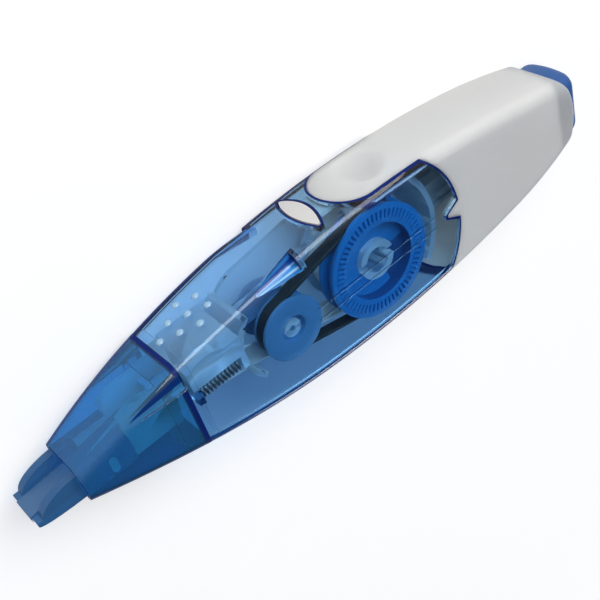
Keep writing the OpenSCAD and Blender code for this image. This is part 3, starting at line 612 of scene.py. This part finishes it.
def tooth_zone(grow):
    tip_x, y, half = 24.6 - 1.6 * grow, -0.6, 2.8 + grow
    tooth = block("tooth zone", tip_x, tip_x + 5, y - half, y + half, -FAR, FAR)
    open_up(tooth)
    pick(tooth, "VERT", lambda v: v.co.x < tip_x + 1e-3)
    bpy.ops.transform.resize(value=(1, 0.12, 1), center_override=(tip_x, y, 0))
    pick(tooth, "EDGE", lambda e: edge_run(e).z > 1 and all(v.co.x < tip_x + 1e-3 for v in e.verts))
    bpy.ops.mesh.bevel(offset=0.28, segments=4, profile=0.5, affect="EDGES")
    close_up()
    return tooth


def oval_bar(y0, y1, grow):
    """The lens that two wide rounds share, with its points taken off by a third."""
    x, wide, half, ends = -1.2, 11.438, 1.7, 5.65
    left, right = x - wide + half, x + wide - half
    bar = turned("oval", (left, y0, 0), (left, y1, 0), wide + grow, vertices=256)
    within(bar, turned("oval side", (right, y0 - 1, 0), (right, y1 + 1, 0), wide + grow, vertices=256))
    return within(bar, turned("oval ends", (x, y0 - 2, 0), (x, y1 + 2, 0), ends + grow, vertices=128))


def split_zone(arc, tongue, oval):
    """All that the white pieces take out of the clear shell."""
    return plus(arc_zone(arc), tongue_zone(tongue, 12.3), tooth_zone(arc), oval_bar(9, 21, oval))


# Clear front shell with its scallops, grip bumps, spigot and inner ribs

def hollow(start, end, r0, r1, grow, finish, upper):
    """A cone that takes a finger hollow out of an edge; its upper faces get the upper finish, which is
    painted shade for the nose groove, and its end face is painted navy as shade, a dark step.
    """
    bar = dress(turned("hollow", start, end, r0 + grow, r1 + grow, vertices=128), finish)
    paint(bar, upper, lambda f: f.normal.y > -0.25)
    return paint(bar, PAINTED_EDGE_SHADE, lambda f: len(f.verts) > 4)


def scallop_bars(grow):
    for side in (-1, 1):
        start, end = scallop_ends(side)
        end = end + (end - start).normalized() * grow
        yield hollow(start, end, SCALLOP_R0, SCALLOP_R1, grow, FACET_LIGHT_STREAKS, FACET_LIGHT_STREAKS)


def groove_bars(grow):
    x0, half, deep, point = -52.0, 2.6, 1.0, 0.15
    wide = fall_radius(half, deep)
    start_y = half_height(x0) + droop(x0) + NOSE_PROUD
    end_y = half_height(NOSE_X) + NOSE_PROUD - half
    for side in (-1, 1):
        start = Vector((x0, start_y, side * (half_depth(x0) + NOSE_PROUD)))
        end = Vector((NOSE_X, end_y, side * (half_depth(NOSE_X) + NOSE_PROUD + wide - deep)))
        longer = 1 + 1 / (end - start).length
        end = start + (end - start) * longer
        yield hollow(start, end, point, point + (wide - point) * longer, grow, NOSE_BLUE, GROOVE_NAVY)


def grip_bumps():
    first, row_step, bump_step = 1.8, 3.25, 3.8
    bumps = []
    for row, count in enumerate((1, 2, 3, 2)):
        x = NOSE_X + first + row_step * row
        for k in range(count):
            z = (k - (count - 1) / 2) * bump_step
            y = half_height(x) + CROWN * crown_share(x, z, 0)
            bpy.ops.object.select_all(action="DESELECT")
            bpy.ops.mesh.primitive_uv_sphere_add(
                segments=48, ring_count=24, radius=0.85, location=(x, y - 0.38, z), scale=(1, 0.9, 1)
            )
            bumps.append(placed("bump"))
    only(*bumps)
    bpy.ops.object.join()
    return bumps[0]


def far_upper_edge(face):
    """The rounded edge at the back of the thumb side, where the tinted plastic looks navy; it is painted
    navy as painted shade.
    """
    centre = face.calc_center_median()
    return face.normal.y > 0.5 and centre.z < 1.9 - half_depth(centre.x)


def shell_skin(x0):
    x1, band = 28.8, 1.5
    skin = casing_block("clear_shell", x0, x1, int((30 - x0) / band), 0, SKIN_CORNER, segments=9)
    # Painted shade: the far upper edge of the clear skin is painted navy
    paint(dress(skin, CLEAR_SHELL), PAINTED_EDGE_SHADE, far_upper_edge)
    less(skin, *scallop_bars(0))
    room = casing_block("room", x0 - 1, x1 + 1, int((32 - x0) / band), WALL, 1.2)
    return less(skin, dress(less(room, *scallop_bars(WALL)), CLEAR_SHELL))


def make_clear_shell():
    shell = shell_skin(NOSE_X)
    spigot = casing_block("spigot", NOSE_X - 4, NOSE_X + 2, 4, 0.7, 1.3)
    less(spigot, casing_block("spigot room", NOSE_X - 5, NOSE_X + 3, 4, 1.4, 0.6))
    for bar in groove_bars(0.95):
        less(spigot, less(bar, block("behind the nose", NOSE_X, NOSE_X + 9, -FAR, FAR, -FAR, FAR)))
    ledge_x = -33.6
    ledge = block("spring ledge", ledge_x - 1.2, ledge_x, -0.875, 1.875, 3.65, half_depth(ledge_x) - 0.6)
    ribs = [block("guide rib", FLAT_X0, 21.8, y - 0.2, y + 0.2, 7.15, 7.9) for y in (-1.8, 0.6)]
    plus(shell, *(dress(piece, CLEAR_SHELL) for piece in (spigot, ledge, *ribs)))
    # The grip bumps, painted pale as highlight
    plus(shell, dress(grip_bumps(), BUMP_PAINTED_BRIGHT))
    less(shell, dress(split_zone(0.45, 0.55, 0.6), CLEAR_SHELL))
    # Painted shade: a strip of the shell along the split to the white pieces is painted navy as the dark
    # edge of the clear wall
    border = within(shell_skin(-12), split_zone(0.43, 0.53, 0.58))
    less(border, split_zone(0.04, 0.04, 0.25))
    clean(shell)
    clean(dress(border, PAINTED_EDGE_SHADE))
    only(shell, border)
    bpy.ops.object.join()
    return settle(shell, "casing", "clear_shell", None, "front_shell")


def make_nose():
    wall, bands, rim = 0.9, 24, 0.93
    nose = casing_block("blue_nose", MOUTH_X, NOSE_X, bands, -NOSE_PROUD, 2.7, segments=9)
    paint(
        dress(nose, NOSE_BLUE), DEEP_SHADE, lambda f: far_upper_edge(f) or -0.97 < f.normal.y < -0.3
    )
    less(nose, *groove_bars(0))
    room = casing_block("nose room", MOUTH_X - 1, NOSE_X + 1, bands, wall - NOSE_PROUD, 1.4)
    less(nose, dress(less(room, *groove_bars(wall)), NOSE_BLUE))
    paint(nose, DEEP_SHADE, lambda f: f.normal.y > 0.6 and f.calc_center_median().y < 0)
    # Painted shade: the nose's rear rim band and end faces are painted navy
    paint(nose, PAINTED_EDGE_SHADE, lambda f: abs(f.normal.x) > 0.98 or f.calc_center_median().x > NOSE_X - rim)
    clean(nose)
    return settle(nose, "casing", "nose_blue", None, "nose_cone")


# White tail with its tongue, tooth and thumb dimple

def dish(co):
    away = math.hypot(co.x - DISH_X, co.z)
    if co.y < 0 or away > DISH_R:
        return 0
    return (1 - (away / DISH_R) ** 2) ** 1.3


def rod_saddle(x):
    saddle = block("saddle", x, x + 1.5, -4.5, 4.5, -8.4, 1.2)
    return less(saddle, block("saddle way", x - 1.5, x + 3, -3.25, 3.25, -1.65, 3))


def latch_ear(side):
    x, y, z = LATCH_PIVOT.x, LATCH_PIVOT.y, side * 4.6
    ear = block("latch ear", x - 1.2, x + 1.2, y - 1.2, y + 2.0, z - 0.6, z + 0.6)
    return less(ear, turned("ear bore", (x, y, z - 1), (x, y, z + 1), 0.75))


def make_white_tail():
    front_x, pivot_x = 2.0, 41.05
    tail = casing_block("white_tail", front_x, RIM_X, 61, 0, SKIN_CORNER, across=20)
    raise_faces(tail, "thumb dish", -DISH_DEPTH, dish)
    room = casing_block("tail room", front_x - 1, RIM_X + 1, 63, WALL, 0.8, across=20)
    raise_faces(room, "thumb dish", -DISH_DEPTH, dish)
    less(tail, room, casing_block("tail mouth", RIM_X - 4.69, RIM_X + 1, 6, 0.5, 1.5))
    boss = turned("pivot boss", (pivot_x, 0, 2.75), (pivot_x, 0, 8.4), 1.3)
    less(boss, turned("pivot bore", (pivot_x, 0, 0), (pivot_x, 0, 5.55), 0.45))
    fittings = plus(rod_saddle(34.4), rod_saddle(45.5), boss, latch_ear(-1), latch_ear(1))
    within(fittings, casing_block("tail core", front_x, RIM_X, 61, 0.6, 1.4))
    plus(tail, fittings)
    bow = fall_radius(half_height(RIM_X), 2.1)
    bow_x = RIM_X - bow
    ahead = block("ahead of the rim", -40, bow_x, -40, 40, -FAR, FAR)
    plus(ahead, turned("rim bow", (bow_x, 0, -FAR), (bow_x, 0, FAR), bow, vertices=256))
    within(tail, plus(arc_zone(0), tongue_zone(0, 0), tooth_zone(0)), ahead)
    clean(tail)
    return settle(tail, "casing", "white_shell", SATIN_WHITE, "rear_shell")


def make_latch():
    x, y, foot = LATCH_PIVOT.x, LATCH_PIVOT.y, 12.8
    top = casing_block("latch top", -5.0, 2.6, 6, -0.05, SKIN_CORNER, across=20)
    latch = within(oval_bar(foot, 20, 0), top)
    arm = block("latch arm", -2.333, x, foot, foot + 0.9, -3, 3)
    barrel = turned("latch barrel", (x, y, -5.2), (x, y, 5.2), 0.7, vertices=48)
    plus(latch, arm, barrel)
    clean(latch)
    return settle(latch, "latch", "white_shell", LATCH_WHITE, "release_latch")


# Knock button: a straight cap with a domed end

def button_block(name, stations):
    """A bar along X with a rounded section: stations gives each band's place and inset."""
    bar = block(name, 0, 1, -0.5, 0.5, -0.5, 0.5)
    open_up(bar)
    pick(bar, "EDGE", lambda e: edge_run(e).x > 0.5)
    bpy.ops.mesh.subdivide(number_cuts=len(stations) - 2)
    last = len(stations) - 1
    for k in range(last, -1, -1):
        x, inset = stations[k]
        pick(bar, "VERT", lambda v: abs(v.co.x - k / last) < 1e-4 and max(abs(v.co.y), abs(v.co.z)) < 0.51)
        bpy.ops.transform.resize(
            value=(1, 2 * (half_height(RIM_X) - inset), 2 * (half_depth(RIM_X) - inset)),
            center_override=(k / last, 0, 0)
        )
        bpy.ops.transform.translate(value=(x - k / last, 0, 0))
    pick(bar, "EDGE", lambda e: edge_run(e).x > 1e-3)
    bpy.ops.mesh.bevel(offset=1.65, segments=6, profile=0.5, affect="EDGES")
    pick(bar, "EDGE", lambda e: runs_along(e, "z", 4))
    bpy.ops.mesh.subdivide(number_cuts=9)
    close_up()
    for side, label in ((1, "upper face"), (-1, "lower face")):
        raise_faces(
            bar, label, side * CROWN,
            lambda co: max(0.0, 1 - (co.z / half_depth(RIM_X)) ** 2) if co.y * side > 0 else 0
        )
    return bar


def make_button():
    cap_inset, skirt_inset, room_inset = 0.75, 1.45, 2.65
    dome_x, dome_length, dome_fall, steps = 63.2, 3.0, 3.6, 12
    stations = [(59.565, cap_inset), (61.5, cap_inset)]
    for k in range(steps + 1):
        t = math.radians(90 / steps * k)
        stations.append((dome_x + dome_length * math.sin(t), cap_inset + dome_fall * (1 - math.cos(t))))
    cap = button_block("knock_cap", stations)
    plus(cap, button_block("skirt", [(x, skirt_inset) for x in (49.5, 56.0, 63.0)]))
    less(cap, button_block("cap room", [(x, room_inset) for x in (48.5, 55.0, 62.0)]))
    socket = block("rod socket", 52.5, 63.0, -4, 4, -2.4, 2.2)
    less(socket, block("rod way", 51.5, 54.5, -3.05, 3.05, -1.45, 1.25))
    plus(cap, socket)
    clean(cap, angle=40)
    return settle(cap, "knock", "button_blue", BUTTON_BLUE, "knock_button")


# Applicator tip: two cheeks and a thin blade

def cheek():
    """A side of the tip: its lower edge curves from the lip, its upper edge starts a little later."""
    back_x, low, high = -47.75, -3.337, 1.963
    steps, reach, later = 24, 10.3, 1.2
    rows = []
    for k in range(steps + 1):
        t = math.radians(90 * k / steps)
        x = TIP_X + reach * (1 - math.cos(t))
        u = min(1.0, max(0.0, (x - TIP_X - later) / (reach - later)))
        rise = math.sqrt(1 - (1 - u) ** 2)
        rows.append((x, LIP_LOW + (low - LIP_LOW) * math.sin(t), LIP_HIGH + (high - LIP_HIGH) * rise))
    rows.append((back_x, low, high))
    side = block("tip_cheek", 0, 1, -0.5, 0.5, 3.0, 4.6)
    open_up(side)
    pick(side, "EDGE", lambda e: edge_run(e).x > 0.5)
    bpy.ops.mesh.subdivide(number_cuts=len(rows) - 2)
    last = len(rows) - 1
    for k in range(last, -1, -1):
        x, y0, y1 = rows[k]
        pick(side, "VERT", lambda v: abs(v.co.x - k / last) < 1e-4 and abs(abs(v.co.y) - 0.5) < 1e-4)
        bpy.ops.transform.resize(value=(1, y1 - y0, 1), center_override=(k / last, 0, 3.8))
        bpy.ops.transform.translate(value=(x - k / last, (y0 + y1) / 2, 0))
    close_up()
    return side


def make_tip():
    near = cheek()
    only(near)
    bpy.ops.object.duplicate()
    far = bpy.context.object
    bpy.ops.transform.mirror(constraint_axis=(False, False, True), center_override=(0, 0, 0))
    bpy.ops.object.transform_apply(location=True, rotation=True, scale=True)
    clean(far, 0.001)
    blade = block("blade", TIP_X, -54.6, LIP_LOW, LIP_HIGH, -3.4, 3.4)
    open_up(blade)
    pick(blade, "VERT", lambda v: v.co.x > -60 and v.co.y > -1.8)
    bpy.ops.transform.translate(value=(0, 0.8, 0))
    close_up()
    tip = plus(near, far, blade)
    tip.name = "applicator_tip"
    for z0, z1 in ((-3.45, -2.5), (2.5, 3.45)):
        less(tip, block("arm way", -54.25, -46.7, -2.65, 1.45, z0, z1))
    snap_x, snap_y = -51.8, -2.35
    pill = turned("snap way", (snap_x, snap_y, -6), (snap_x, snap_y, 6), 0.8, vertices=48)
    open_up(pill)
    pick(pill, "VERT", lambda v: v.co.y > snap_y + 1e-3)
    bpy.ops.transform.translate(value=(0, 2.1, 0))
    close_up()
    less(tip, pill)
    soften(tip, 0.3, 4, 40)
    clean(tip, angle=40)
    return settle(tip, "carriage", "tip_blue", TIP_BLUE, "tip_head")


# Return spring, wound with a screw, that stretches between the casing and the cartridge

def make_spring():
    x0, x1, y, z, coil, wire, turns = -33.35, -24.85, 0.5, 5.025, 1.175, 0.2, 11
    bpy.ops.object.select_all(action="DESELECT")
    bpy.ops.mesh.primitive_circle_add(
        vertices=12, radius=wire, fill_type="NOTHING", location=(0, coil, 0), rotation=(0, 0, 0)
    )
    spring = placed("coil_spring")
    modifier = spring.modifiers.new("wind", "SCREW")
    modifier.axis = "X"
    modifier.angle = 2 * math.pi
    modifier.screw_offset = (x1 - x0) / turns
    modifier.iterations = turns
    modifier.steps = 28
    modifier.render_steps = 28
    modifier.use_merge_vertices = False
    apply_all(spring)
    open_up(spring)
    bpy.ops.mesh.select_all(action="SELECT")
    bpy.ops.transform.translate(value=(x0, y, z))
    bpy.ops.mesh.select_mode(type="EDGE")
    bpy.ops.mesh.select_all(action="DESELECT")
    bpy.ops.mesh.select_non_manifold()
    bpy.ops.mesh.edge_face_add()
    close_up()
    clean(spring, 0.001, 60)
    settle(spring, None, "steel", STEEL, "return_spring")
    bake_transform(spring)
    return spring


# Cartridge pieces that keep the solids' shape, with their edges broken and their rounds smoothed

def refine(node, name, body, finish, break_edge=0.0001, angle=35):
    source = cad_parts[node]
    only(source)
    bpy.ops.object.duplicate()
    piece = bpy.context.object
    piece.name = name
    piece.parent = None
    for key in list(piece.keys()):
        del piece[key]
    open_up(piece)
    bpy.ops.mesh.select_all(action="SELECT")
    bpy.ops.mesh.remove_doubles(threshold=2e-6)
    bpy.ops.mesh.dissolve_limited(angle_limit=math.radians(0.6))
    close_up()
    if break_edge:
        soften(piece, break_edge, 2, 40)
    only(piece)
    bpy.ops.object.shade_smooth_by_angle(angle=math.radians(angle))
    dress(piece, finish)
    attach(piece, body)
    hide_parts(node)
    return piece


def in_the_cup(face):
    middle = face.calc_center_median() / MM - DRAWN_AT
    return 3.6 < math.hypot(middle.x - SUPPLY_X, middle.y) < 7.78 and 4.0 < middle.z < 6.5


make_clear_shell()
make_nose()
make_white_tail()
make_latch()
make_button()
make_tip()
make_spring()
refine("cartridge_frame", "cartridge_walls", "carriage", FRAME_CLEAR, 0.00012)
reel = refine("supply_pulley", "supply_reel", "supply_reel", REEL_BLUE, 0.00008)
# Painted shade: the floor of the reel's cup is painted darker
paint(reel, REEL_CUP_SHADE, in_the_cup)
refine("take_up_spool", "take_up_reel", "take_up_reel", SPOOL_BLUE, 0.0001)
refine("drive_belt", "rubber_belt", "carriage", BELT_BLACK, 0.00015)
for node, finish in (
    ("push_rod", ROD_WHITE), ("lock_follower", STEEL), ("feed_guide_pin", CORE_WHITE),
    ("return_guide_pin", CORE_WHITE), ("supply_core", CORE_WHITE), ("clutch_washer", WASHER_BLACK),
    ("supply_tape_roll", TAPE_WHITE), ("take_up_tape_roll", LINER), ("feed_tape", TAPE_WHITE),
    ("return_tape", LINER),
):
    dress(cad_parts[node], finish)


# Studio: pale floor, soft light and the camera

def make_floor():
    bpy.ops.object.select_all(action="DESELECT")
    bpy.ops.mesh.primitive_plane_add(size=6, location=(0, 0, -0.00005))
    floor = bpy.context.object
    floor.name = "studio_floor"
    finish, nodes, link, shader, _ = new_finish("Pale studio floor")
    surface = add_texture(nodes, link, shader, 40.0, 0.8, 0.1, 0.2, 0)
    tone = between(nodes, link, surface.outputs["Shade"], (0.71, 0.71, 0.71), (0.73, 0.73, 0.73))
    link(tone, shader.inputs["Base Color"])
    light = nodes.new("ShaderNodeLightPath")
    seen = work_out(
        nodes, link, "ADD", light.outputs["Is Camera Ray"], light.outputs["Is Transmission Ray"]
    )
    where = nodes.new("ShaderNodeTexCoord")
    away = work_out_vector(nodes, link, "LENGTH", where.outputs["Object"])
    paler = spread_out(nodes, link, away, 0.25, 1.1, 0.45, 0.95)
    lift = work_out(nodes, link, "MULTIPLY", seen.outputs[0], paler)
    shader.inputs["Emission Color"].default_value = (1, 1, 1, 1)
    link(lift.outputs[0], shader.inputs["Emission Strength"])
    dress(floor, finish)


def soft_light(name, place, target, size, power):
    lamp = bpy.data.lights.new(name, "AREA")
    lamp.shape = "RECTANGLE"
    lamp.size, lamp.size_y = size
    lamp.energy = power
    box = bpy.data.objects.new(name, lamp)
    bpy.context.scene.collection.objects.link(box)
    box.location = place
    box.rotation_euler = (Vector(target) - Vector(place)).to_track_quat("-Z", "Y").to_euler()


def make_camera():
    lens = bpy.data.cameras.new("camera")
    lens.lens = 61.5
    lens.sensor_width = 36
    lens.clip_start = 0.005
    camera = bpy.data.objects.new("camera", lens)
    bpy.context.scene.collection.objects.link(camera)
    across = (0.73977, -0.25214, 0.62383)
    up = (0.57417, 0.71994, -0.38989)
    back = (-0.35081, 0.64662, 0.67736)
    place = (-0.07242, 0.12029, 0.13674)
    camera.matrix_world = Matrix([*zip(across, up, back, place), (0, 0, 0, 1)])
    bpy.context.scene.camera = camera


def make_studio():
    scene = bpy.context.scene
    world = bpy.data.worlds.new("studio")
    world.use_nodes = True
    nodes, link = world.node_tree.nodes, world.node_tree.links.new
    room = nodes["Background"]
    where = nodes.new("ShaderNodeTexCoord")
    axes = nodes.new("ShaderNodeSeparateXYZ")
    link(where.outputs["Generated"], axes.inputs[0])
    link(spread_out(nodes, link, axes.outputs["Y"], -0.6, 0.6, 0.1, 0.7), room.inputs["Strength"])
    side = spread_out(nodes, link, axes.outputs["Y"], -0.6, 0.1)
    link(between(nodes, link, side, (0.4, 0.62, 1), (1, 1, 1)), room.inputs["Color"])
    backdrop = nodes.new("ShaderNodeBackground")
    backdrop.inputs["Color"].default_value = (1, 1, 1, 1)
    light = nodes.new("ShaderNodeLightPath")
    either = nodes.new("ShaderNodeMixShader")
    link(light.outputs["Is Camera Ray"], either.inputs[0])
    link(room.outputs[0], either.inputs[1])
    link(backdrop.outputs[0], either.inputs[2])
    link(either.outputs[0], nodes["World Output"].inputs["Surface"])
    scene.world = world
    scene.view_settings.view_transform = "Standard"
    bounces = 24
    scene.cycles.max_bounces = bounces
    scene.cycles.transmission_bounces = bounces
    scene.cycles.transparent_max_bounces = bounces
    scene.cycles.caustics_reflective = False
    soft_light("window", (0.12, 0.52, 0.51), (0, 0, 0), (0.65, 0.35), 3.3)
    soft_light("side", (0.25, -0.65, 0.2), (0, 0, 0), (0.3, 0.2), 0.8)


make_floor()
make_camera()
make_studio()
